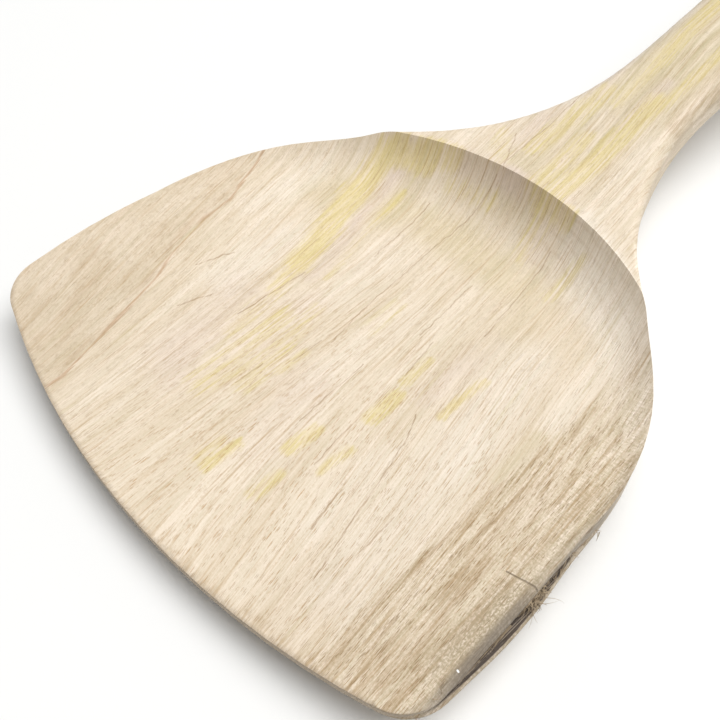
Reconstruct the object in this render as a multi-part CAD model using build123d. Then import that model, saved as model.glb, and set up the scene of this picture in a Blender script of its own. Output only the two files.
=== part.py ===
from build123d import *
import os
from math import sqrt

# A one-piece wooden wok spatula, carved from a single plank.
# Sizes are in millimetres. X runs across the spatula, Y towards the end of the handle, Z up.
# A station is a distance from the front edge, measured towards the end of the handle.

# Whole spatula
overall_length = 340.0
blade_width = 100.0
dish_length = 89.6
rim_height = 13.4
neck_station = 138.0
handle_width = 27.6
handle_thickness = 11.0
arch_height = 18.8
cut_overrun = 20.0

# Outline of the blade, seen from above
front_edge_radius = 146.0
front_corner_radius = 7.0
side_narrowing = 1.2
side_bulge = 0.35

# Floor and underside of the blade: sections across it, each an arc that rises to the sides.
# The underside swings up to the front edge, where the wood is thinnest.
front_edge_lift = 4.2
floor_thickness = 5.3
side_rise = 7.0
section_station_shares = (-0.134, 0.0893, 0.3013, 0.558, 0.8259, 1.2277)
lift_shares = (1.43, 0.62, 0.12, -0.07, -0.07, -0.07)
thickness_shares = (0.04, 0.51, 0.85, 1.0, 1.04, 1.15)
floor_rise_shares = (0.114, 0.386, 0.829, 0.943, 1.0, 1.057)
underside_rise_shares = (0.057, 0.571, 0.886, 0.971, 1.0, 1.0)

# Back wall of the dish: the round end of a pocket that is wider than the blade and runs out
# over the front edge, with a hollow corner at its foot
pocket_past_side = 11.3
pocket_corner_radius = 12.8

# Shoulders: each row is one rounded section, as shares of the dish's length, the blade's width,
# the rim's height (its top), the arch's height (its bottom) and its own thickness (its rounding)
shoulder_shares = (
    (0.4464, 0.976, 1.0, -0.053, 0.055),
    (0.5971, 0.95, 1.015, -0.053, 0.055),
    (0.7422, 0.846, 1.045, -0.053, 0.055),
    (0.8627, 0.668, 1.097, -0.053, 0.057),
    (0.9911, 0.458, 1.134, 0.011, 0.08),
    (1.1551, 0.302, 1.194, 0.138, 0.164),
)

# Throat: how far one section lies on the way from the last shoulder to the neck, then its share
# of the handle's width, of the arch's height, of the handle's thickness, and its rounding
throat_shares = (
    (0.478, 0.746, 0.378, 1.091, 0.3),
)

# Handle: the same kind of row, from the neck to the end of the handle
handle_shares = (
    (0.0, 0.71, 0.606, 1.027, 0.425),
    (0.1089, 0.754, 0.83, 1.0, 0.473),
    (0.2574, 0.87, 1.0, 1.0, 0.482),
    (0.4307, 0.964, 1.0, 1.018, 0.482),
    (0.6287, 1.0, 0.798, 1.073, 0.458),
    (0.8267, 0.993, 0.399, 1.1, 0.446),
    (0.9356, 0.935, 0.0745, 1.109, 0.426),
    (0.9802, 0.725, -0.0053, 0.955, 0.419),
    (1.0, 0.406, 0.0957, 0.545, 0.433),
)

# Hanging hole through the end of the handle
hole_diameter = 6.0
hole_to_end = 18.0
hole_edge_round = 0.8
hole_seam_angle = 30.0

# Sizes that follow from these
half_blade = blade_width / 2
shoulder_station = shoulder_shares[0][0] * dish_length
throat_station = shoulder_shares[-1][0] * dish_length
pocket_radius = half_blade + pocket_past_side
clear_height = arch_height + 2 * handle_thickness + cut_overrun


def along(station):
    """Turn a station into a Y position, with Y = 0 halfway along the spatula."""
    return station - overall_length / 2


def across(station, height):
    """A plane that cuts straight across the spatula, its own Y pointing up."""
    return Plane(origin=(0, along(station), height), x_dir=(1, 0, 0), z_dir=(0, -1, 0))


def front_edge_setback(x):
    """How far the curved front edge has fallen back at x."""
    return front_edge_radius - sqrt(front_edge_radius**2 - x**2)


def blade_outline():
    """Half a blade, mirrored: curved front edge, round corner, nearly straight side."""
    corner_setback = front_edge_setback(half_blade)
    side_end_x = half_blade - side_narrowing
    side_middle_x = (half_blade + side_end_x) / 2 + side_bulge
    tip = (0, along(0))
    quarter = (half_blade / 2, along(front_edge_setback(half_blade / 2)))
    corner = (half_blade, along(corner_setback))
    side_middle = (side_middle_x, along((corner_setback + shoulder_station) / 2))
    side_end = (side_end_x, along(shoulder_station))
    front_edge = ThreePointArc(tip, quarter, corner)
    side = ThreePointArc(corner, side_middle, side_end)
    closing = Polyline(side_end, (0, along(shoulder_station)), tip)
    half = make_face(Curve() + [front_edge, side, closing])
    outline = half + mirror(half, about=Plane.YZ)
    corners = outline.vertices().sort_by(lambda corner: abs(corner.X))[-2:]
    return fillet(corners, front_corner_radius)


def space_above_arc(station, middle_height, rise):
    """A face across the blade: an arc below, and straight sides up past the wood."""
    reach = half_blade + cut_overrun
    radius = (half_blade**2 + rise**2) / (2 * rise)
    reach_height = middle_height + radius - sqrt(radius**2 - reach**2)
    ceiling = reach_height + clear_height
    arc = ThreePointArc((-reach, reach_height), (0, middle_height), (reach, reach_height))
    walls = Polyline(
        (reach, reach_height), (reach, ceiling), (-reach, ceiling), (-reach, reach_height)
    )
    return across(station, 0) * make_face(Curve() + [arc, walls])


def space_over_blade_surface(depth, rise_shares):
    """The space over a hollow surface that lies a share of depth above the underside."""
    sections = []
    for i, station_share in enumerate(section_station_shares):
        middle_height = lift_shares[i] * front_edge_lift + thickness_shares[i] * depth
        rise = rise_shares[i] * side_rise
        sections.append(space_above_arc(station_share * dish_length, middle_height, rise))
    return loft(sections)


def dish():
    """What is hollowed out: the space over the floor, up to a round back wall."""
    over_floor = space_over_blade_surface(floor_thickness, floor_rise_shares)
    run_out = Rectangle(
        2 * pocket_radius, pocket_radius + cut_overrun, align=(Align.CENTER, Align.MAX)
    )
    pocket = extrude(Circle(pocket_radius) + run_out, clear_height)
    hollow = over_floor & Pos(0, along(dish_length - pocket_radius), 0) * pocket
    wall_foot = hollow.edges().filter_by(GeomType.BSPLINE).sort_by(SortBy.LENGTH)[-1]
    return fillet(wall_foot, pocket_corner_radius)


def over_table(start_station):
    """All the space over the table, from a station to past the end of the handle."""
    wide = blade_width + 2 * cut_overrun
    long = overall_length + 2 * cut_overrun - start_station
    return Pos(0, along(start_station), 0) * Box(
        wide, long, clear_height, align=(Align.CENTER, Align.MIN, Align.MIN)
    )


def over_table_and_underside():
    """The space over the rounded underside of the blade, and over the table behind it."""
    over_underside = space_over_blade_surface(0, underside_rise_shares)
    behind = over_table(section_station_shares[-1] * dish_length)
    return (over_underside & over_table(-cut_overrun)) + behind


def rounded_section(station, width, bottom, top, rounding_share):
    thickness = top - bottom
    outline = RectangleRounded(width, thickness, rounding_share * thickness)
    return across(station, (top + bottom) / 2) * outline


def handle_rows(rows, start_station, end_station):
    """Sections between two stations: their width, arch and thickness are the handle's."""
    sections = []
    for way, width_share, arch_share, thick_share, rounding_share in rows:
        station = start_station + way * (end_station - start_station)
        bottom = arch_share * arch_height
        top = bottom + thick_share * handle_thickness
        width = width_share * handle_width
        sections.append(rounded_section(station, width, bottom, top, rounding_share))
    return sections


def neck_and_handle():
    """Wide and flat at the shoulders, narrow at the neck, arched and soft-edged at the grip."""
    sections = []
    for way, width_share, rim_share, arch_share, rounding_share in shoulder_shares:
        top = rim_share * rim_height
        bottom = arch_share * arch_height
        width = width_share * blade_width
        sections.append(rounded_section(way * dish_length, width, bottom, top, rounding_share))
    sections += handle_rows(throat_shares, throat_station, neck_station)
    sections += handle_rows(handle_shares, neck_station, overall_length)
    return loft(sections)


def hanging_hole():
    """A straight hole whose wall's seam is turned away from the middle planes."""
    place = Pos(0, along(overall_length - hole_to_end), 0) * Rot(0, 0, hole_seam_angle)
    return place * Cylinder(hole_diameter / 2, 2 * clear_height)


def spatula_body():
    """The whole spatula: blank, underside, dish, then the hole with its rounded rims."""
    blank = extrude(blade_outline(), rim_height) + neck_and_handle()
    carved = (blank & over_table_and_underside()) - dish()
    drilled = carved - hanging_hole()
    hole_rims = new_edges(carved, hanging_hole(), combined=drilled)
    return fillet(hole_rims.filter_by(GeomType.LINE, reverse=True), hole_edge_round)


os.makedirs("parts", exist_ok=True)
body = spatula_body()
export_step(body, "parts/spatula_body.step")
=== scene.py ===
import math

import bmesh
import bpy
import numpy as np
from mathutils import Matrix, Vector


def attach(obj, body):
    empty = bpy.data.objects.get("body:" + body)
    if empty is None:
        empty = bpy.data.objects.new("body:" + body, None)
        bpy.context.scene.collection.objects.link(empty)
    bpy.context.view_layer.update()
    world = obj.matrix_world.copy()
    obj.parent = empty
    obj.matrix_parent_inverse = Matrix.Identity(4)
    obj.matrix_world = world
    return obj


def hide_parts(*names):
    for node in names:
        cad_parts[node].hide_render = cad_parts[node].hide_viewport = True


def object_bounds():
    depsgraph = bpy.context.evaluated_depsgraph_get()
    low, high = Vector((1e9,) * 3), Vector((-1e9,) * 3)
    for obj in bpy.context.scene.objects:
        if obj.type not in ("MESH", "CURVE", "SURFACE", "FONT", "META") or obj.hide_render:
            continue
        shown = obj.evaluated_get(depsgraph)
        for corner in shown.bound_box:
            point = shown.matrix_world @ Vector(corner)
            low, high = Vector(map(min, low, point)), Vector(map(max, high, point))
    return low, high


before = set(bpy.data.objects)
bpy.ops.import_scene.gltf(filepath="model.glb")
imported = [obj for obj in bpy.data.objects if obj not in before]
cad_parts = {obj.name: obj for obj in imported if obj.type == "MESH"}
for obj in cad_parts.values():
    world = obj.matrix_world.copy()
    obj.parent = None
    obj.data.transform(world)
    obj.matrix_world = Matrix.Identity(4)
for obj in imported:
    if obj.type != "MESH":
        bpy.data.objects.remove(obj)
cad_low, cad_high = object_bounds()


# The wooden body: the whole spatula, carved from one piece of pale wood with an open grain.
# The dish is cut out of the plank and the outside is rounded and sanded; nothing is joined to it.
# At the front right the side has split along the grain, and the wood below stands off as a lip.
MM = 0.001
FRONT_Y = round(cad_low[1] / MM)
BLADE_END_Y = -60
DISH_WALL_FROM, DISH_WALL_TO = 46, 90
END_GRAIN_TO = 12
TINY = 1e-6

# Longest triangle sides in mm, pass by pass, over the whole body and then beside the split.
MESH_SIZES = (16, 8, 4, 2, 1.1)
SPLIT_MESH_SIZES = (0.5, 0.25)
HALVINGS = 4
CRISP_ANGLE = math.radians(30)
HANDLE_CRISP_ANGLE = 1.6 * CRISP_ANGLE
SMOOTHING_ROUNDS, SMOOTHING = 8, 0.5
SPLIT_SMOOTHING_ROUNDS, SPLIT_SMOOTHING = 2, 0.4

# The split side: distances from the front edge, depths in mm, heights as shares of the side's own.
SIDE_X, SIDE_END = 40, 56
RIM_NEAR = 1.2
SPLIT_X, SPLIT_FROM, SPLIT_TO = 45.0, 5.0, 48.0
AROUND_SPLIT = 4
SPLIT_FLOOR, SPLIT_ROOF, ROOF_RISE = 0.15, 0.36, 0.24
SPLIT_DEPTH = 2.4
SPLINTER_HEIGHT, SPLINTER_LEAN, SPLINTER_THICKNESS = 0.40, 0.003, 0.030
EDGE_ROUND = 1.3
FACE_SETBACK = 0.15

# The split's floor and roof waver: pitch, start and share of each wave.
SPLIT_WAVES = ((0.9, 1.0, 0.5), (2.3, 0.0, 0.3), (4.7, 2.0, 0.2))

# How far the torn lip stands off the side: distance from the front edge and reach.
LIP = (
    (4.0, 0.0), (9.0, 0.2), (14.0, 0.45), (18.5, 0.68), (21.5, 0.85), (24.4, 0.97), (27.4, 1.0),
    (30.9, 0.92), (33.9, 0.78), (37.4, 0.52), (41.0, 0.28), (46.0, 0.1), (50.0, 0.0),
)

# Soft stains on the face, with some painted light and painted shade among them: across and along at both
# ends, half width and strength.
# Each is full to one share of its half width and gone at another.
STAIN_FULL, STAIN_GONE = 0.3, 1.7
STAINS = {
    "yellow": (
        (-28.6, 79, -27.2, 70, 2.2, 1.0), (-27.2, 70, -23.8, 60, 2.4, 1.0),
        (-23.8, 60, -20.8, 50, 2.2, 1.0), (-20.8, 50, -19.0, 43, 1.7, 0.8),
        (-18.7, 43, -17.0, 32, 1.8, 0.45), (-13.5, 40, -11.5, 22, 3.0, 0.5),
        (-21.0, 77, -19.5, 68, 0.8, 0.6), (-19.5, 68, -15.0, 52, 0.8, 0.45),
        (19.9, 55, 19.9, 45, 0.9, 0.85), (12.2, 43, 12.3, 37, 1.4, 0.8), (7.9, 29.5, 7.9, 24, 1.2, 0.9),
        (14.5, 30.5, 14.4, 25, 1.0, 0.75), (1.9, 19, 1.9, 13, 1.0, 0.95),
        (-0.7, 17.5, -0.9, 13, 1.2, 0.45), (10.5, 20, 10.5, 15, 1.1, 0.5), (-8, 36, -7, 27, 2.4, 0.5),
        (-5, 38, -5, 33, 1.2, 0.5), (10.6, 52, 10.9, 46, 1.0, 0.5), (-1.5, 57, -1, 50, 1.8, 0.4),
        (-10.5, 46, -9, 39, 1.6, 0.45), (3.2, 121, 4.3, 89, 2.2, 0.85), (-6.5, 118, -6.8, 97, 2.3, 0.65),
        (-1.2, 106, 0, 90, 1.8, 0.7), (-3.7, 138, -2.6, 116, 1.4, 0.7), (4.4, 142, 4.6, 122, 1.2, 0.7),
        (-5, 154, -3.6, 130, 2.0, 0.7), (-27, 80, -17, 86, 2.0, 0.9), (-16, 83.5, -6, 85.5, 1.6, 0.4),
        (2.5, 88.6, 8.5, 88, 1.6, 0.8), (3.5, 88, 5.5, 81, 1.6, 0.6), (15.5, 84, 15, 77, 1.4, 0.5),
        (6.2, 89, 6.5, 80, 1.1, 0.5), (-14, 96, -9, 90, 2.2, 0.4), (1.5, 165, 2.0, 150, 1.4, 0.45),
        (47.9, 49, 47.6, 43, 0.7, 0.8),
    ),
    "pink": (
        (-20, 37, -17, 22, 6.0, 0.7), (0, 34, 5, 22, 4.5, 0.6), (-12, 46, -10, 36, 3.0, 0.5),
        (-2, 112, -1, 96, 1.6, 0.8), (-11, 108, -9, 97, 2.4, 0.7), (15, 62, 16, 46, 2.2, 0.6),
        (-14.5, 74, -13, 58, 1.6, 0.4), (4, 92, 9, 88, 1.2, 0.6), (-17, 86.5, -9, 88.6, 1.6, 1.0),
        (-9, 88.6, 1, 89.2, 1.5, 1.0), (4.5, 86, 7.5, 82, 1.4, 0.6), (-24.5, 79, -23.0, 70, 1.2, 1.0),
        (-23.0, 70, -19.6, 60, 1.3, 1.0), (-19.6, 60, -16.8, 50, 1.3, 0.8), (-9, 128, -8, 114, 1.6, 0.6),
        (1.5, 126, 1.3, 112, 1.3, 0.8),
    ),
    "olive": (
        # The first three strokes darken a band along the foot of the dish's back wall.
        (-31, 66, -20, 72, 4.5, 0.85), (-20, 73, -6, 77, 4.5, 0.85), (-6, 76, 9, 76, 4.5, 0.80),
        (-26, 79, 2, 87, 2.0, 0.30), (-3, 92, -1, 118, 6.5, 0.75), (-1, 118, 0, 162, 8.0, 1.0),
        (0, 162, 0.5, 176, 7.5, 0.72), (1, 176, 2, 194, 7.0, 0.48), (-3, 188, -4, 228, 6.0, 0.28),
        (4, 196, 5, 216, 4.0, 0.22), (14, 78, 17, 60, 3.0, 0.40), (33, 52, 33.5, 42, 1.2, 0.7),
    ),
    "pale": (
        (22, 62, 27, 40, 5.0, 0.8), (27, 40, 30, 14, 4.0, 0.6), (19, 34, 21, 18, 2.5, 0.5),
        (-27, 53, -26, 38, 3.5, 0.75), (-35, 68, -37, 52, 2.4, 0.6), (1, 58, 0, 38, 3.2, 0.4),
        # The last stroke on the next line and both strokes on the line after it are painted light: they
        # lighten the shaded upper dish wall at the right rim and the left edge of the neck.
        (-9, 68, -10, 50, 3.0, 0.4), (32, 72, 34, 56, 2.4, 0.5), (12, 87.5, 27, 79.5, 3.0, 1.0),
        (27, 79.5, 38, 70, 2.6, 0.9), (-9.6, 150, -9.6, 112, 2.0, 0.9),
    ),
    "brown": (
        # The first two strokes lie along the rounded right edge of the handle and are painted shade.
        (9.6, 118, 9.4, 175, 1.8, 0.75), (7.5, 152, 7.3, 120, 1.2, 0.35), (41.7, 31, 42.6, 18, 0.7, 0.9),
        (42.6, 18, 43.2, 9, 0.8, 0.8), (45.3, 50, 45.5, 34, 0.7, 0.55), (45.5, 30, 46.2, 8, 0.7, 0.8),
        (36.5, 9, 37.5, 2, 1.6, 0.7), (40.5, 12, 41.8, 4, 1.4, 0.7), (35.1, 41, 35.6, 20, 0.7, 0.55),
        (35.6, 20, 36.2, 2, 0.8, 0.55), (38.3, 50, 38.9, 30, 0.9, 0.5), (41.0, 50, 41.4, 36, 0.7, 0.45),
        (33.5, 76, 36.5, 70, 1.8, 0.55), (24, 3.2, 38, 5.2, 0.8, 0.6), (8, 1.0, 24, 2.6, 0.6, 0.45),
        (28, 12, 30, 2, 5.0, 0.24),
    ),
}
# The brown line where one year's growth ends, down the left of the face.
RING_LINE = (
    (-46.0, 66.0), (-42.9, 57.2), (-40.1, 50.3), (-39.2, 43.5), (-36.9, 35.6),
    (-33.5, 28.8), (-31.5, 21.4), (-29.8, 14.6), (-27.0, 6.0), (-27.0, -4.0),
)
# Thin dark vessel lines, cracks and a small white fleck: across and along at both ends.
VESSEL_LINES = (
    (-7.8, 88, -7.8, 74), (-7.8, 74, -5.5, 53), (-5.5, 53, -3.6, 43), (-5.1, 42, -4.8, 35.6),
    (-7.8, 31.6, -7.7, 25.9), (-18.5, 50, -18.6, 35), (-24.7, 34.4, -26.7, 28.2), (-29.8, 43, -31.8, 36),
    (21.9, 29.4, 23.9, 22.4), (23.9, 22.4, 26.9, 12.5), (19.0, 38.6, 21.9, 29.4),
    (16.9, 42.5, 19.0, 38.6),
    (8.1, 55.5, 10.0, 46.9), (3.4, 43.7, 5.0, 28.7), (11.0, 34, 12.8, 25), (18.8, 25, 20.6, 17.5),
    (9.4, 84, 13.3, 62.5), (-9.4, 112, -7.8, 90), (-11.7, 97.7, -7, 88.7), (27.7, 27, 28.3, 20),
    (-15.6, 79, -13.2, 62), (3.6, 70, 5.6, 55),
)
VESSEL_HALF_WIDTH = 0.20
CRACK, CRACK_HALF_WIDTH = (44.6, 31.1, 47.0, 31.5), 0.17
CRACK_MOUTH, CRACK_MOUTH_HALF_WIDTH = (47.0, 31.5, 50.3, 31.9), 0.22
WHITE_FLECK, WHITE_FLECK_HALF_WIDTH = (48.95, 17.05, 49.15, 17.0), 0.20


def split_long_edges(shape, longest, wanted):
    """Halve each wanted edge that is longer than a length, in a few passes."""
    for _ in range(HALVINGS):
        found = [e for e in shape.edges if wanted(e) and e.calc_length() > longest]
        if not found:
            return
        # Each face that is cut is cut across its longest side too, so that none ends up flat.
        found += [max(f.edges, key=lambda e: e.calc_length()) for e in found for f in e.link_faces]
        found = list(dict.fromkeys(found))
        bmesh.ops.subdivide_edges(shape, edges=found, cuts=1, use_grid_fill=True)
        sided = [f for f in shape.faces if len(f.verts) > 3]
        bmesh.ops.triangulate(shape, faces=sided, quad_method="SHORT_EDGE")


def beside_the_split(edge):
    """True for an edge on the outer side where the wood has split."""
    place = edge.verts[0].co
    station = place.y / MM - FRONT_Y
    return place.x > SPLIT_X * MM and SPLIT_FROM - AROUND_SPLIT < station < SPLIT_TO + AROUND_SPLIT


def refine_split(shape):
    """Cut the triangles beside the split fine enough for its small forms."""
    for longest in SPLIT_MESH_SIZES:
        split_long_edges(shape, longest * MM, beside_the_split)


def smooth(shape, points, rounds, factor):
    """Ease points toward their neighbours."""
    for _ in range(rounds):
        bmesh.ops.smooth_vert(
            shape, verts=points, factor=factor, use_axis_x=True, use_axis_y=True, use_axis_z=True
        )


def even_body():
    """The solid's mesh in small even faces, smooth but for its real edges, and where those are."""
    shape = bmesh.new()
    shape.from_mesh(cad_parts["spatula_body"].data)
    bmesh.ops.remove_doubles(shape, verts=shape.verts, dist=TINY)
    for longest in MESH_SIZES:
        split_long_edges(shape, longest * MM, lambda edge: True)
    crisp = set()
    for edge in shape.edges:
        on_blade = edge.verts[0].co.y < BLADE_END_Y * MM
        if edge.calc_face_angle(0) > (CRISP_ANGLE if on_blade else HANDLE_CRISP_ANGLE):
            edge.smooth = beside_the_split(edge)
            crisp.update(edge.verts)
    smooth(shape, [v for v in shape.verts if v not in crisp], SMOOTHING_ROUNDS, SMOOTHING)
    rims = np.array([v.co for v in crisp]) / MM
    rims[:, 1] -= FRONT_Y
    refine_split(shape)
    return shape, rims


def fade(values, low, high):
    """A smooth step from 0 at low to 1 at high."""
    share = np.clip((values - low) / (high - low), 0, 1)
    return share * share * (3 - 2 * share)


def between(values, low, low_full, high_full, high):
    """A smooth rise from 0 to 1, level for a while and smoothly back to 0."""
    return fade(values, low, low_full) * (1 - fade(values, high_full, high))


def side_profile(rims, station):
    """Top, foot and outermost place of the uncut side, at each distance from the front."""
    rim_x, rim_station, rim_z = rims.T
    on_side = (rim_x > SIDE_X) & (rim_station < SIDE_END)
    places, rows = [], []
    for place in range(SIDE_END):
        here = on_side & (abs(rim_station - place) < RIM_NEAR)
        if here.any():
            places.append(place)
            rows.append((rim_z[here].max(), rim_z[here].min(), rim_x[here].max()))
    return (np.interp(station, places, column) for column in np.array(rows).T)


def lip_reach(station):
    """How far the torn lip stands off the side."""
    return np.interp(station, *zip(*LIP))


def split_levels(station):
    """Floor and roof of the split as shares of the side's height, and how far it has opened."""
    wave = sum(np.sin(station * pitch + start) * share for pitch, start, share in SPLIT_WAVES)
    opened = between(station, SPLIT_FROM, SPLIT_FROM + 19, SPLIT_TO - 16, SPLIT_TO)
    widest = between(station, SPLIT_FROM, 22, 34, 46)
    return SPLIT_FLOOR + 0.012 * wave, SPLIT_ROOF + ROOF_RISE * widest + 0.02 * wave, opened


def tear_side(co, rims):
    """Round the worn upper edge, cut the split into the side and stand the lip off."""
    station = co[:, 1] - FRONT_Y
    top, foot, edge = side_profile(rims, station)
    split_floor, split_roof, opened = split_levels(station)
    height = (co[:, 2] - foot) / (top - foot)
    on_side = (co[:, 0] > SIDE_X) & (station < SIDE_END)
    outer = fade(co[:, 0] - edge, -1.6, -0.4) * on_side

    # The corner is pulled in to a round that fades out at both ends of the split.
    radius = EDGE_ROUND * (0.10 + 0.90 * between(station, 1, 9, SPLIT_TO - 8, SPLIT_TO + 6))
    in_x = co[:, 0] - (edge - radius)
    in_z = co[:, 2] - (top - radius)
    far = np.hypot(in_x, in_z)
    pulled = on_side & (station < SIDE_END - 2) & (in_x > 0) & (in_z > 0) & (far > radius)
    scale = radius / np.maximum(far, TINY)
    co[:, 0] = np.where(pulled, edge - radius + in_x * scale, co[:, 0])
    co[:, 2] = np.where(pulled, top - radius + in_z * scale, co[:, 2])

    # The lip bends out below, the hollow goes in above it, and the face steps back a little.
    near_side = np.exp(-np.maximum(edge - co[:, 0] - 0.5, 0) / 3.0) * on_side
    lip = lip_reach(station) * near_side * (1 - fade(height, 0.10, 0.24))
    hollow = between(height, split_floor, split_floor + 0.06, split_roof - 0.06, split_roof)
    above_splinter = height - SPLINTER_HEIGHT + SPLINTER_LEAN * (station - 18)
    splinter = np.exp(-((above_splinter / SPLINTER_THICKNESS) ** 2)) * between(station, 9, 13, 24, 30)
    cut = SPLIT_DEPTH * opened * outer * hollow * (1 - 0.7 * splinter)
    setback = FACE_SETBACK * opened * fade(co[:, 0] - edge, -4.0, -0.2) * on_side
    co[:, 0] += lip - cut - setback * fade(height, split_roof - 0.08, split_roof)


def split_fields(co, station, rims):
    """How deep in the split each finished point is, and how much grey it takes on the split side:
    weathering and painted shade.
    """
    top, foot, edge = side_profile(rims, station)
    _, split_roof, opened = split_levels(station)
    height = (co[:, 2] - foot) / (top - foot)
    on_side = (co[:, 0] > SIDE_X) & (station < SIDE_END + 2)
    past_edge = co[:, 0] - edge

    behind_lip = 1 - fade(past_edge - lip_reach(station), -0.55, -0.30)
    in_split = between(height, 0.05, 0.10, split_roof - 0.02, split_roof + 0.05)
    fissure = opened * behind_lip * in_split * fade(past_edge, -4.2, -3.4) * on_side

    # The rounded upper edge, the outer band of the lip and the rear of the side are greyed: weathering and
    # painted shade.
    rounded = fade(-past_edge - FACE_SETBACK * opened, 1.9, 0.4) * (height > 0.3)
    rounded = rounded * (0.20 + 0.80 * fade(station, 7, 17)) * (1 - 0.6 * fade(station, 27, 34))
    lip_side = 0.45 * fade(past_edge, -0.8, -0.3) * (height > 0.0) * (height <= 0.3)
    front_part = np.maximum(rounded, lip_side) * fade(station, 0, 8)
    rear_part = 0.75 * fade(past_edge, -0.6, -0.2) * (height > 0.25) * (height < 0.93)
    rear_part = rear_part * between(station, 27, 35, 48, 56)
    return fissure, np.maximum(front_part, rear_part) * on_side


def gap_to_line(points, x1, s1, x2, s2):
    """Distance in mm from points on the face to a straight line between two places."""
    start = np.array((x1, s1))
    run = np.array((x2, s2)) - start
    share = np.clip(((points - start) @ run) / (run @ run), 0, 1)
    return np.linalg.norm(points - start - share[:, None] * run, axis=1)


def stain(points, strokes):
    """Strength of a set of soft strokes at each point."""
    total = np.zeros(len(points))
    for x1, s1, x2, s2, half_width, strength in strokes:
        gap = gap_to_line(points, x1, s1, x2, s2)
        left = 1 - fade(gap, half_width * STAIN_FULL, half_width * STAIN_GONE)
        total = np.maximum(total, strength * left)
    return total


def side_of_ring(points):
    """Distance in mm to the growth line, positive toward the outer edge."""
    nearest = np.full(len(points), np.inf)
    signed = np.zeros(len(points))
    for (x1, s1), (x2, s2) in zip(RING_LINE, RING_LINE[1:]):
        gap = gap_to_line(points, x1, s1, x2, s2)
        cross = (x2 - x1) * (points[:, 1] - s1) - (s2 - s1) * (points[:, 0] - x1)
        closer = gap < nearest
        nearest[closer] = gap[closer]
        signed[closer] = (gap * -np.sign(cross))[closer]
    return signed


def per_point(mesh, name):
    """The place or the normal of each point of a mesh, one row each."""
    values = np.empty(len(mesh.vertices) * 3)
    mesh.vertices.foreach_get(name, values)
    return values.reshape(-1, 3)


def add_field(mesh, name, values):
    """Store one number for each point of a mesh, for its material to read."""
    field = mesh.attributes.new(name, "FLOAT", "POINT")
    field.data.foreach_set("value", np.asarray(values, dtype=np.float32))


shape, rims = even_body()
co = np.array([v.co for v in shape.verts]) / MM
tear_side(co, rims)
for vert, place in zip(shape.verts, co * MM):
    vert.co = place
refine_split(shape)
torn_x, torn_y = (SPLIT_X - 0.5) * MM, (FRONT_Y + SPLIT_TO + 3) * MM
torn = [v for v in shape.verts if v.co.x > torn_x and v.co.y < torn_y]
smooth(shape, torn, SPLIT_SMOOTHING_ROUNDS, SPLIT_SMOOTHING)
body_mesh = bpy.data.meshes.new("spatula")
shape.to_mesh(body_mesh)
shape.free()
body_mesh.materials.clear()
body_mesh.polygons.foreach_set("use_smooth", [True] * len(body_mesh.polygons))

co = per_point(body_mesh, "co") / MM
normals = per_point(body_mesh, "normal")
station = co[:, 1] - FRONT_Y
on_face = np.column_stack((co[:, 0], station))
facing_up = fade(normals[:, 2], 0.02, 0.18)
in_dish = (station > DISH_WALL_FROM) & (station < DISH_WALL_TO)
fissure, side = split_fields(co, station, rims)
for name, strokes in STAINS.items():
    add_field(body_mesh, name, stain(on_face, strokes) * facing_up)
add_field(body_mesh, "face", facing_up)
add_field(body_mesh, "wall", fade(normals[:, 2], 0.985, 0.90) * facing_up * in_dish)
add_field(body_mesh, "ring", side_of_ring(on_face))
add_field(body_mesh, "end_grain", fade(-normals[:, 1], 0.30, 0.65) * (station < END_GRAIN_TO))
add_field(body_mesh, "fissure", fissure)
add_field(body_mesh, "side", side)
body = bpy.data.objects.new("spatula", body_mesh)
bpy.context.scene.collection.objects.link(body)


# Where a dash ends in its cell, and how widely dashes differ in strength.
DASH_EDGE, DASH_RANGE = 0.34, 0.3
# Past a line on the dish the grain leans to one side, and swings a little across the board.
GRAIN_LINE = 45.0
LEAN, LEAN_RUN = 0.15, 95.0
SWING, SWING_RUN = 0.10, 15.0
SWING_PITCH, SWING_START = 0.1047, -2.304


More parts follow.
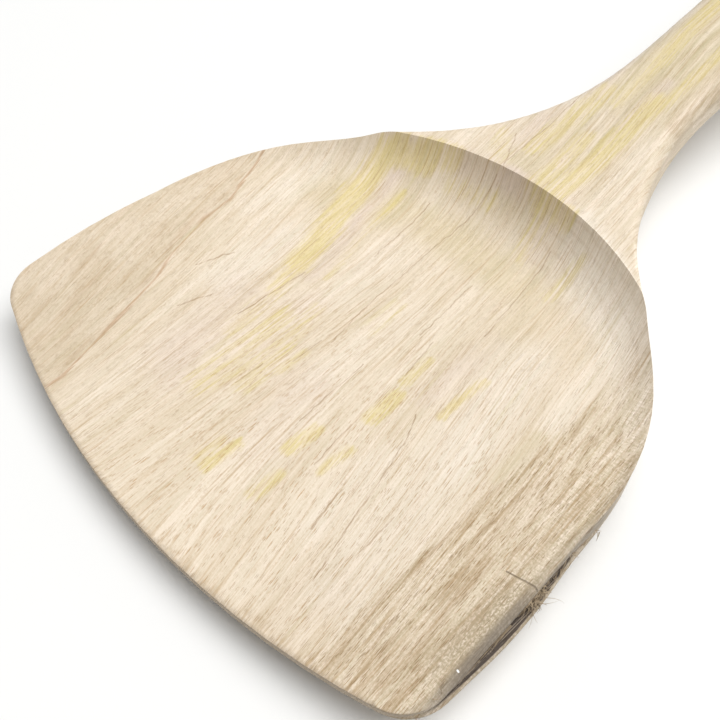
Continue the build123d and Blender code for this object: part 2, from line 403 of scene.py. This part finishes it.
class WoodFinish:
    """A wood material: places in mm to draw with, and the colour laid down so far."""

    def __init__(self, name, colour):
        self.material = bpy.data.materials.new(name)
        self.material.use_nodes = True
        self.tree = self.material.node_tree
        self.surface = self.tree.nodes["Principled BSDF"]
        self.colour = colour

        # Across, along from the front edge, and height; then the lane that the grain follows.
        place = self.node("TexCoord", {}).outputs["Object"]
        parts = self.node("SeparateXYZ", {0: self.stretched(place, (1 / MM, 1 / MM, 1 / MM))}).outputs
        self.x, self.z = parts[0], parts[2]
        self.s = self.math("SUBTRACT", parts[1], FRONT_Y)
        run = self.math("SUBTRACT", self.s, GRAIN_LINE)
        lean = self.times(self.math("MINIMUM", run, LEAN_RUN), LEAN)
        swing = self.math("COSINE", self.math("MULTIPLY_ADD", self.x, SWING_PITCH, SWING_START))
        swing = self.times(swing, self.times(self.math("MINIMUM", run, SWING_RUN), SWING))
        lane = self.plus(self.plus(self.x, lean), swing)

        # Height counts on the sides alone, so that the grain runs straight over what faces up.
        self.face = self.field("face")
        steep = self.math("SUBTRACT", 1.0, self.face)
        self.grain = self.vector(lane, self.s, self.times(self.z, steep))
        self.flat = self.vector(self.x, self.s, 0.0)

    def join(self, socket, value):
        """Put a value, or another node's output, into a socket."""
        if isinstance(value, bpy.types.NodeSocket):
            self.tree.links.new(value, socket)
        else:
            socket.default_value = value

    def node(self, kind, inputs, **settings):
        """Add a node; inputs pairs each socket with a value or another node's output."""
        node = self.tree.nodes.new("ShaderNode" + kind)
        for name, value in settings.items():
            setattr(node, name, value)
        for place, value in inputs.items():
            self.join(node.inputs[place], value)
        return node

    def math(self, operation, *values):
        """A Math node's result."""
        return self.node("Math", dict(enumerate(values)), operation=operation).outputs[0]

    def plus(self, first, second):
        """Two values added."""
        return self.math("ADD", first, second)

    def times(self, first, *others):
        """Values multiplied together."""
        for other in others:
            first = self.math("MULTIPLY", first, other)
        return first

    def swayed(self, value, pattern, reach):
        """A value pushed up and down by a noise, by up to half the reach each way."""
        return self.math("MULTIPLY_ADD", self.math("SUBTRACT", pattern, 0.5), reach, value)

    def step(self, value, low, high, start=0.0, end=1.0):
        """A smooth step from start to end while a value goes from low to high."""
        sockets = {0: value, 1: low, 2: high, 3: start, 4: end}
        return self.node("MapRange", sockets, interpolation_type="SMOOTHSTEP").outputs[0]

    def threads(self, pattern, level, core, edge):
        """Thin lines where a noise passes a level."""
        off = self.math("ABSOLUTE", self.math("SUBTRACT", pattern, level))
        return self.step(off, core, edge, 1.0, 0.0)

    def field(self, name):
        """One of the mesh's stored numbers."""
        return self.node("Attribute", {}, attribute_name=name).outputs["Fac"]

    def vector(self, *parts):
        """Three values as one place."""
        return self.node("CombineXYZ", dict(enumerate(parts))).outputs[0]

    def stretched(self, place, factors):
        """A place multiplied part by part."""
        return self.node("VectorMath", {0: place, 1: factors}, operation="MULTIPLY").outputs[0]

    def noise(self, place, pitch, detail=3.0, rough=0.55):
        """Noise with so many features to the mm across, along and in height."""
        place = self.stretched(place, pitch)
        sockets = {"Vector": place, "Scale": 1.0, "Detail": detail, "Roughness": rough}
        return self.node("TexNoise", sockets).outputs[0]

    def dashes(self, place, sets):
        """Dark dashes along the grain, each in its own cell: pitch, core and share of cells left out."""
        total = 0.0
        for pitch, core, left_out in sets:
            cells = self.node("TexVoronoi", {"Vector": self.stretched(place, pitch), "Scale": 1.0})
            pick = self.node("SeparateColor", {0: cells.outputs["Color"]}).outputs[0]
            dash = self.step(cells.outputs["Distance"], core, DASH_EDGE, 1.0, 0.0)
            dash = self.times(dash, self.step(pick, left_out, left_out + DASH_RANGE))
            total = self.math("MAXIMUM", total, dash)
        return total

    def thin_line(self, place, ends, half_width):
        """1 on a thin straight line, falling to 0 at its half width."""
        x1, s1, x2, s2 = ends
        run = Vector((x2 - x1, s2 - s1, 0))
        away = self.node("VectorMath", {0: place, 1: (x1, s1, 0)}, operation="SUBTRACT").outputs[0]
        along = {0: away, 1: run / run.length_squared}
        share = self.node("VectorMath", along, operation="DOT_PRODUCT").outputs["Value"]
        share = self.node("Clamp", {0: share, 1: 0.0, 2: 1.0}).outputs[0]
        foot = self.node("VectorMath", {0: run, "Scale": share}, operation="SCALE").outputs[0]
        gap = self.node("VectorMath", {0: away, 1: foot}, operation="DISTANCE").outputs["Value"]
        return self.step(gap, 0.0, half_width, 1.0, 0.0)

    def mixed(self, amount, under, over, blend="MIX"):
        """One colour laid over another."""
        sockets = {0: amount, 6: under, 7: over}
        return self.node("Mix", sockets, data_type="RGBA", blend_type=blend).outputs[2]

    def coat(self, colour, *amounts):
        """Lay a colour over what is there, as thickly as the amounts multiplied say."""
        self.colour = self.mixed(self.times(*amounts), self.colour, colour)

    def finish(self, **values):
        """Put the colour and the other values on the surface."""
        for name, value in {"Base Color": self.colour, **values}.items():
            self.join(self.surface.inputs[name], value)


CREAM = (0.728, 0.630, 0.497, 1)
BEIGE = (0.664, 0.560, 0.420, 1)
OLIVE = (0.575, 0.487, 0.318, 1)
PALE_AND_PAINTED_LIGHT = (0.765, 0.682, 0.572, 1)
PINK = (0.665, 0.553, 0.462, 1)
TAN = (0.605, 0.500, 0.362, 1)
TAN_FRINGE = (0.640, 0.535, 0.395, 1)
TAN_CRACKLE = (0.450, 0.345, 0.225, 1)
RING_BROWN = (0.450, 0.280, 0.160, 1)
FAINT_RING_BROWN = (0.460, 0.335, 0.210, 1)
ARC_BROWN = (0.480, 0.360, 0.245, 1)
WALL_PAINTED_LIGHT = (0.860, 0.775, 0.650, 1)
YELLOW = (0.682, 0.565, 0.270, 1)
STRAY_YELLOW = (0.640, 0.550, 0.320, 1)
MARGIN_TAN = (0.590, 0.485, 0.345, 1)
MARGIN_DARK = (0.385, 0.278, 0.158, 1)
MARGIN_LIGHT = (0.720, 0.625, 0.480, 1)
BROWN_STREAK_AND_SHADE = (0.375, 0.248, 0.130, 1)
FINE_LINE_BROWN = (0.470, 0.315, 0.165, 1)
VESSEL_BROWN = (0.430, 0.285, 0.150, 1)
PORE_BROWN = (0.500, 0.285, 0.120, 1)
MARGIN_PORE_BROWN = (0.335, 0.225, 0.118, 1)
VESSEL_LINE_BROWN = (0.340, 0.220, 0.125, 1)
CRACK_BROWN = (0.180, 0.120, 0.075, 1)
USED_TAN = (0.370, 0.293, 0.186, 1)
END_GRAIN_BROWN = (0.330, 0.255, 0.175, 1)
WEATHERED_AND_SHADE_GREY = (0.160, 0.132, 0.104, 1)
FISSURE_DIRT_AND_SHADE = (0.050, 0.033, 0.023, 1)
FISSURE_LIGHT = (0.290, 0.232, 0.172, 1)
WHITE_FLECK_COLOUR = (0.900, 0.900, 0.880, 1)

# Dashes along the grain: cells to the mm, half width of the dark core, share of cells left out.
PORE_SETS = (((3.5, 0.34, 3.5), 0.13, 0.22), ((4.4, 0.60, 4.4), 0.12, 0.28))
VESSEL_SETS = (((2.7, 0.085, 2.7), 0.12, 0.55), ((1.9, 0.050, 1.9), 0.06, 0.62))
BUMP_STRENGTH, BUMP_DEPTH = 0.6, 0.00012

wood = WoodFinish("wood", CREAM)
x, s, face = wood.x, wood.s, wood.face
bands = wood.noise(wood.grain, (0.22, 0.012, 0.45), 2.0)
streaks = wood.noise(wood.grain, (0.85, 0.030, 1.3), 4.0, 0.6)
fibres = wood.noise(wood.grain, (2.2, 0.085, 2.6), 6.0, 0.82)
speck = wood.noise(wood.grain, (3.5, 2.2, 3.5), 2.0, 0.7)
cloud = wood.noise(wood.flat, (0.12, 0.08, 0.1))

# Cream ground with broad beige bands along the board, then olive, pale and pinkish stretches; part of the
# pale is painted light on the dish wall at the right rim and on the neck's left edge.
wood.coat(BEIGE, wood.step(bands, 0.34, 0.66))
wood.coat(OLIVE, wood.field("olive"), wood.step(streaks, 0.3, 0.7, 0.55, 1.0))
wood.coat(PALE_AND_PAINTED_LIGHT, wood.field("pale"), wood.step(streaks, 0.3, 0.65, 0.4, 1.0))
wood.coat(PINK, wood.field("pink"), wood.step(wood.plus(streaks, cloud), 0.75, 1.2, 0.15, 0.95))

# Tan, crackled wood outside the growth line, with faint lines parallel to it.
ring = wood.swayed(wood.swayed(wood.field("ring"), streaks, 1.8), fibres, 0.5)
tan_side = wood.times(wood.step(ring, -0.4, 1.0), face)
crackle = wood.noise(wood.flat, (1.1, 0.75, 0.5), 5.0, 0.75)
waves = wood.step(wood.math("SINE", wood.times(ring, 1.7)), 0.55, 1.0)
wood.coat(TAN, tan_side, wood.step(cloud, 0.36, 0.62, 0.45, 0.95))
wood.coat(TAN_FRINGE, wood.step(ring, -8.0, -0.5), wood.step(ring, -0.3, 0.2, 1.0, 0.0), face, 0.30)
ring_line = wood.times(wood.step(wood.math("ABSOLUTE", ring), 0.06, 0.38, 1.0, 0.0), face)
wood.coat(RING_BROWN, ring_line, wood.step(fibres, 0.32, 0.55, 0.50, 1.0), 0.74)
wood.coat(FAINT_RING_BROWN, waves, tan_side, wood.step(cloud, 0.42, 0.6), 0.35)
wood.coat(TAN_CRACKLE, tan_side, wood.step(crackle, 0.50, 0.66), 0.40)

# Growth rings cut across by the dish wall show there as thin curved lines.
wall = wood.field("wall")
rise = wood.math("MULTIPLY_ADD", x, 0.05, wood.plus(wood.z, wood.times(cloud, 3.0)))
arcs = wood.step(wood.math("SINE", wood.times(rise, 3.2)), 0.35, 1.0)
wood.coat(ARC_BROWN, arcs, wall, wood.step(x, 0.0, 14.0), 0.26)
# The dish wall is painted lighter toward the right rim: painted light where the wall stands in shade.
wood.coat(WALL_PAINTED_LIGHT, wall, wood.step(x, 6.0, 20.0), 0.55)

# Yellow-green stains drawn out along the grain.
stained = wood.field("yellow")
drawn = wood.swayed(wood.swayed(stained, streaks, 2.4), fibres, 2.2)
drawn = wood.times(wood.step(drawn, 0.10, 1.00), wood.step(stained, 0.02, 0.30))
wood.coat(YELLOW, drawn, wood.step(fibres, 0.38, 0.56, 0.42, 0.90))
wood.coat(STRAY_YELLOW, wood.step(streaks, 0.56, 0.76), wood.step(cloud, 0.46, 0.62), 0.45)

# The coarse margin on the right, with dark and light streaks.
border = wood.swayed(wood.swayed(x, streaks, 3.0), fibres, 4.0)
margin = wood.times(wood.step(border, 34.2, 35.8), wood.step(s, 48.0, 76.0, 1.0, 0.25), face)
uneven = wood.math("MULTIPLY_ADD", fibres, 0.6, streaks)
strip = wood.noise(wood.grain, (1.30, 0.095, 1.5), 5.0, 0.70)
wood.coat(MARGIN_TAN, margin, wood.step(uneven, 0.62, 0.92, 0.15, 0.95))
wood.coat(MARGIN_DARK, wood.step(strip, 0.51, 0.60), margin, 0.66)
wood.coat(MARGIN_LIGHT, wood.step(strip, 0.40, 0.51, 1.0, 0.0), margin, 0.70)
# Brown streaks, and painted shade along the handle's right edge.
wood.coat(BROWN_STREAK_AND_SHADE, wood.field("brown"), wood.step(fibres, 0.40, 0.58, 0.20, 1.0), 0.66)

# Lighter and darker fibres, stronger on the neck, with freckles and scrapes at the right edge.
tone = wood.swayed(1.0, fibres, -0.70)
tone = wood.swayed(tone, streaks, wood.step(s, 82.0, 98.0, -0.36, -0.66))
tone = wood.swayed(tone, speck, wood.times(wood.math("MULTIPLY_ADD", margin, 0.50, 0.22), -1.0))
scrapes = wood.noise(wood.flat, (0.55, 3.2, 0.5), 3.0, 0.7)
scraped = wood.times(wood.step(wood.math("MULTIPLY_ADD", s, 0.12, x), 45.8, 49.0), face)
tone = wood.swayed(tone, scrapes, wood.times(scraped, -0.85))
warm_tone = wood.math("MULTIPLY_ADD", tone, 1.40, -0.40)
shade = wood.node("CombineColor", {0: tone, 1: tone, 2: warm_tone}).outputs[0]
wood.colour = wood.mixed(1.0, wood.colour, shade, "MULTIPLY")

# Fine lines along the grain.
long_lines = wood.threads(wood.noise(wood.grain, (1.15, 0.020, 1.7), 2.0, 0.5), 0.5, 0.004, 0.026)
long_lines = wood.times(long_lines, wood.step(fibres, 0.36, 0.60, 0.1, 0.9))
short_lines = wood.threads(wood.noise(wood.grain, (1.9, 0.060, 2.2), 2.0, 0.5), 0.47, 0.006, 0.034)
short_lines = wood.times(short_lines, wood.step(speck, 0.35, 0.65, 0.1, 0.8))
wood.coat(FINE_LINE_BROWN, wood.math("MAXIMUM", long_lines, short_lines), 0.46)

# Long thin vessels everywhere, and open pores: short dark dashes, most of them toward the front.
vessels = wood.dashes(wood.grain, VESSEL_SETS)
pores = wood.dashes(wood.grain, PORE_SETS)
open_pores = wood.times(wood.step(s, 34.0, 66.0, 1.0, 0.15), wood.step(x, -34.0, 0.0, 0.30, 1.0))
open_pores = wood.times(open_pores, wood.step(cloud, 0.36, 0.56, 0.35, 1.0))
open_pores = wood.times(open_pores, wood.step(streaks, 0.40, 0.60, 0.35, 1.0))
wood.coat(VESSEL_BROWN, vessels, wood.step(fibres, 0.30, 0.60, 0.30, 1.0), 0.62)
wood.coat(PORE_BROWN, pores, open_pores, 0.70)
wood.coat(MARGIN_PORE_BROWN, pores, margin, wood.step(strip, 0.40, 0.54, 0.20, 1.0), 0.80)

# Thin dark vessel lines, and the crack across the margin, all a little bent.
bend = wood.math("MULTIPLY_ADD", wood.noise(wood.flat, (0.4, 0.35, 0.1), 2.0), 1.0, -0.5)
bent = wood.node("VectorMath", {0: wood.flat, 1: wood.vector(bend, 0.0, 0.0)}, operation="ADD").outputs[0]
lines = 0.0
for ends in VESSEL_LINES:
    lines = wood.math("MAXIMUM", lines, wood.thin_line(bent, ends, VESSEL_HALF_WIDTH))
wood.coat(VESSEL_LINE_BROWN, lines, face, wood.step(fibres, 0.35, 0.62, 0.25, 1.0), 0.78)
crack_mouth = wood.thin_line(bent, CRACK_MOUTH, CRACK_MOUTH_HALF_WIDTH)
crack = wood.math("MAXIMUM", wood.thin_line(bent, CRACK, CRACK_HALF_WIDTH), crack_mouth)
crack = wood.times(crack, face)
wood.coat(CRACK_BROWN, crack, 0.75)

# Beside the worn edge the open grain has darkened with use.
used = wood.times(wood.step(x, 43.6, 47.2), wood.step(s, 10.0, 19.0), face)
used = wood.times(used, wood.step(s, 27.0, 36.0, 1.0, 0.25))
wood.coat(USED_TAN, used, wood.step(speck, 0.38, 0.60, 0.22, 0.90))

# End grain along the front edge drinks up more and is darker.
wood.coat(END_GRAIN_BROWN, wood.field("end_grain"), wood.step(speck, 0.3, 0.7, 0.45, 0.85))

# The split side: grey-brown from weathering and painted shade, near black down in the fissure from dirt
# and painted shade, with a small white fleck.
weathered_and_shaded = wood.times(wood.field("side"), wood.step(s, 46.0, 66.0, 1.0, 0.0))
wood.coat(WEATHERED_AND_SHADE_GREY, weathered_and_shaded, wood.step(fibres, 0.32, 0.66, 0.72, 1.0), 0.90)
# Near black in the fissure: dark dirt and painted shade in the hollow, streaked with lighter torn fibres.
torn_fibres = wood.noise(wood.vector(x, s, wood.z), (4.5, 0.07, 4.5), 3.0, 0.6)
inner = wood.mixed(wood.step(torn_fibres, 0.49, 0.60), FISSURE_DIRT_AND_SHADE, FISSURE_LIGHT)
wood.coat(inner, wood.step(wood.field("fissure"), 0.10, 0.55), 0.97)
# A small white fleck on the worn edge.
white_fleck = wood.times(wood.thin_line(wood.flat, WHITE_FLECK, WHITE_FLECK_HALF_WIDTH), face)
wood.coat(WHITE_FLECK_COLOUR, wood.step(white_fleck, 0.2, 0.5))

# Fibres stand up a little; pores and the crack go down.
relief = wood.math("MULTIPLY_ADD", fibres, 0.6, wood.times(speck, 0.4))
relief = wood.math("MULTIPLY_ADD", pores, -0.8, relief)
relief = wood.math("MULTIPLY_ADD", crack, -3.0, relief)
bump = wood.node("Bump", {"Strength": BUMP_STRENGTH, "Distance": BUMP_DEPTH, "Height": relief})
wood.finish(Roughness=wood.step(fibres, 0.3, 0.7, 0.62, 0.80), Normal=bump.outputs[0])
body_mesh.materials.append(wood.material)
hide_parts("spatula_body")
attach(body, "root")


# The frayed fibres: torn wood fibres that still hang from the split side, and longer splinters.
# They are thin tapering slivers of the same wood, rooted in the dark fissure and bent outward.
FIBRE_SEED = 7
# How many fibres, where they start and end along the side, and how short and long they are.
FIBRE_GROUPS = (
    (70, 29.8, 33.8, 0.8, 1.8), (14, 33.5, 40.0, 0.3, 0.9),
    (14, 9.0, 28.0, 0.3, 0.8), (4, 44.5, 45.5, 0.2, 0.4),
)
FIBRE_ROOT_X = 48.9
FIBRE_THICKNESS = (0.06, 0.13)
HAIRS = (
    ((49.8, 32.4, 8.2), (51.3, 33.6, 9.3), (52.2, 34.4, 7.4)),
    ((49.9, 31.6, 7.9), (51.2, 32.2, 8.8), (51.6, 33.6, 8.6)),
    ((49.8, 30.8, 7.6), (50.6, 30.2, 6.9), (51.0, 29.0, 5.6)),
    ((49.8, 30.4, 7.7), (50.9, 29.9, 7.4), (51.4, 30.1, 6.6)),
)
HAIR_THICKNESS = 0.045
SPLINTERS = (
    ((48.6, 31.0, 8.3), (49.3, 23.0, 8.1), (49.3, 13.5, 7.0)),
    ((49.0, 29.0, 7.9), (49.8, 22.0, 7.5), (49.7, 15.0, 6.8)),
    ((48.4, 34.0, 8.8), (48.9, 28.0, 8.7), (49.0, 21.0, 8.2)),
    ((49.4, 27.0, 7.4), (50.1, 20.0, 7.1), (49.9, 12.0, 6.4)),
)
SPLINTER_RADIUS = 0.16
SLIVER_PARTS, SLIVER_SIDES = 8, 3
FIBRE_TAN = (0.420, 0.330, 0.220, 1)
FIBRE_BROWN = (0.240, 0.175, 0.110, 1)
FIBRE_ROUGHNESS = 0.8


def sliver(points, faces, path, radius):
    """Add a three-sided tapering sliver bent along three places."""
    start, bend, tip = (Vector(p) for p in path)
    first = len(points)
    for i in range(SLIVER_PARTS + 1):
        t = i / SLIVER_PARTS
        middle = start * (1 - t) ** 2 + bend * 2 * t * (1 - t) + tip * t * t
        heading = ((bend - start) * (1 - t) + (tip - bend) * t).normalized()
        side_way = heading.cross(Vector((0.2, 0.1, 1))).normalized()
        up_way = heading.cross(side_way)
        for k in range(SLIVER_SIDES):
            angle = 2 * math.pi * k / SLIVER_SIDES
            outward = side_way * math.cos(angle) + up_way * math.sin(angle)
            points.append(middle + outward * radius * (1 - 0.8 * t))
    for i in range(SLIVER_PARTS):
        for k in range(SLIVER_SIDES):
            a = first + SLIVER_SIDES * i + k
            b = first + SLIVER_SIDES * i + (k + 1) % SLIVER_SIDES
            faces.append((a, b, b + SLIVER_SIDES, a + SLIVER_SIDES))
    last = first + SLIVER_SIDES * SLIVER_PARTS
    faces.append((first + 2, first + 1, first))
    faces.append((last, last + 1, last + 2))


chance = np.random.default_rng(FIBRE_SEED)
fibre_points, fibre_faces = [], []
for number, from_station, to_station, shortest, longest in FIBRE_GROUPS:
    for _ in range(number):
        at = chance.uniform(from_station, to_station)
        root = Vector((FIBRE_ROOT_X + chance.uniform(-0.3, 0.4), at, chance.uniform(7.4, 9.6)))
        reach = chance.uniform(shortest, longest)
        heading = Vector((chance.uniform(0.1, 0.7), chance.uniform(-1.6, 0.9), chance.uniform(-0.7, 0.35)))
        heading.normalize()
        bend = root + heading * reach * 0.6 + Vector((0.3, 0, 0.2)) * reach
        droop = Vector((0, chance.uniform(-0.4, 0.4), chance.uniform(-0.5, 0.1)))
        tip = root + heading * (reach + 0.6) + droop
        sliver(fibre_points, fibre_faces, (root, bend, tip), chance.uniform(*FIBRE_THICKNESS))
for path in HAIRS:
    sliver(fibre_points, fibre_faces, path, HAIR_THICKNESS)
for path in SPLINTERS:
    sliver(fibre_points, fibre_faces, path, SPLINTER_RADIUS)
fibre_mesh = bpy.data.meshes.new("frayed_fibres")
fibre_mesh.from_pydata([(p.x * MM, (p.y + FRONT_Y) * MM, p.z * MM) for p in fibre_points], [], fibre_faces)
fray = bpy.data.objects.new("frayed_fibres", fibre_mesh)
bpy.context.scene.collection.objects.link(fray)

fray_wood = WoodFinish("fibre", FIBRE_TAN)
mottle = fray_wood.noise(fray_wood.grain, (3.0, 0.8, 3.0))
fray_wood.coat(FIBRE_BROWN, fray_wood.step(mottle, 0.38, 0.62))
fray_wood.finish(Roughness=FIBRE_ROUGHNESS)
fibre_mesh.materials.append(fray_wood.material)
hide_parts("spatula_body")
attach(fray, "root")


# The table: a plain white sheet that the spatula lies on.
# It reaches well past the view on every side, so that no edge of it shows.
TABLE_REACH = 4.0
TABLE_WHITE = (0.79, 0.79, 0.78, 1)
TABLE_ROUGHNESS = 0.9
corners = [(x * TABLE_REACH, y * TABLE_REACH, 0) for x, y in ((-1, -1), (1, -1), (1, 1), (-1, 1))]
table_mesh = bpy.data.meshes.new("floor")
table_mesh.from_pydata(corners, [], [(0, 1, 2, 3)])
table = bpy.data.objects.new("floor", table_mesh)
bpy.context.scene.collection.objects.link(table)
paper = bpy.data.materials.new("floor")
paper.use_nodes = True
paper_surface = paper.node_tree.nodes["Principled BSDF"]
paper_surface.inputs["Base Color"].default_value = TABLE_WHITE
paper_surface.inputs["Roughness"].default_value = TABLE_ROUGHNESS
table_mesh.materials.append(paper)


# The light: a white room and one large soft window high up behind the spatula.
# The window gives the soft shadow under the front edge; the room fills it.
ROOM_WHITE, ROOM_STRENGTH = (1, 1, 1, 1), 0.36
WINDOW_SIZE, WINDOW_WATTS = 1.8, 50.0
WINDOW_PLACE = (0.35, 0.45, 1.9)
WINDOW_AIM = (0, -0.10, 0)
room = bpy.data.worlds.new("room")
bpy.context.scene.world = room
room.use_nodes = True
room.node_tree.nodes["Background"].inputs["Color"].default_value = ROOM_WHITE
room.node_tree.nodes["Background"].inputs["Strength"].default_value = ROOM_STRENGTH
window_light = bpy.data.lights.new("window", "AREA")
window_light.shape = "RECTANGLE"
window_light.size = WINDOW_SIZE
window_light.size_y = WINDOW_SIZE
window_light.energy = WINDOW_WATTS
window = bpy.data.objects.new("window", window_light)
window.location = WINDOW_PLACE
window.rotation_euler = (Vector(WINDOW_AIM) - window.location).to_track_quat("-Z", "Y").to_euler()
bpy.context.scene.collection.objects.link(window)
bpy.context.scene.view_settings.view_transform = "Standard"


# The camera: close above the front corner, looking down across the dish.
# Its place and its three directions were found from the outline of the blade in the picture.
CAMERA_PLACE = (66.60, -186.31, 114.61)
CAMERA_RIGHT = Vector((0.68091, 0.73236, 0.00413))
CAMERA_DOWN = Vector((0.57280, -0.52903, -0.62611))
CAMERA_FORWARD = Vector((-0.45635, 0.42869, -0.77972))
LENS, SENSOR = 42.5, 36.0
NEAR, FAR = 0.005, 20.0
lens = bpy.data.cameras.new("camera")
lens.lens = LENS
lens.sensor_width = SENSOR
lens.sensor_fit = "HORIZONTAL"
lens.clip_start = NEAR
lens.clip_end = FAR
camera = bpy.data.objects.new("camera", lens)
turn = Matrix((CAMERA_RIGHT, -CAMERA_DOWN, -CAMERA_FORWARD)).transposed().to_4x4()
camera.matrix_world = Matrix.Translation(Vector(CAMERA_PLACE) * MM) @ turn
bpy.context.scene.collection.objects.link(camera)
bpy.context.scene.camera = camera
